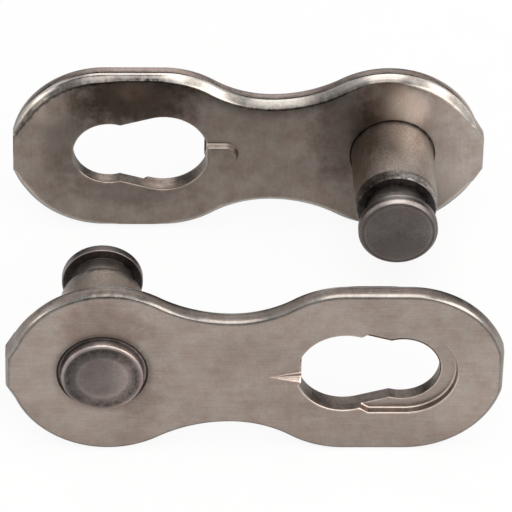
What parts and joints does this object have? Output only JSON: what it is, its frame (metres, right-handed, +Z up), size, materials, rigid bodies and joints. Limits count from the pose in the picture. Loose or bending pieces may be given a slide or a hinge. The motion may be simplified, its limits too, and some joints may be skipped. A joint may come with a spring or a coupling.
{
  "type": "chain connecting link",
  "caption": "Two-part roller chain connecting link: waisted plates with riveted grooved pins and keyhole slots, apart before closing.",
  "frame": {"origin": "below the middle of the link, level with its lowest edges", "axes": "+X along the chain, from the front half's pin to the rear half's pin; Y along the pins, from the front half to the rear half; +Z up"},
  "size_m": [0.0208, 0.0166, 0.0083],
  "materials": {
    "plate_steel": "satin plated steel, tumbled edges",
    "pin_steel": "satin turned steel"
  },
  "bodies": {
    "rear_half": {"rear_plate": "plate_steel", "rear_pin": "pin_steel"},
    "front_half": {"front_plate": "plate_steel", "front_pin": "pin_steel"}
  },
  "joints": [
    {"name": "lock_slide", "type": "slide", "parent": "rear_half", "child": "front_half", "axis": [1, 0, 0], "range_m": [0, 0.00266]}
  ]
}
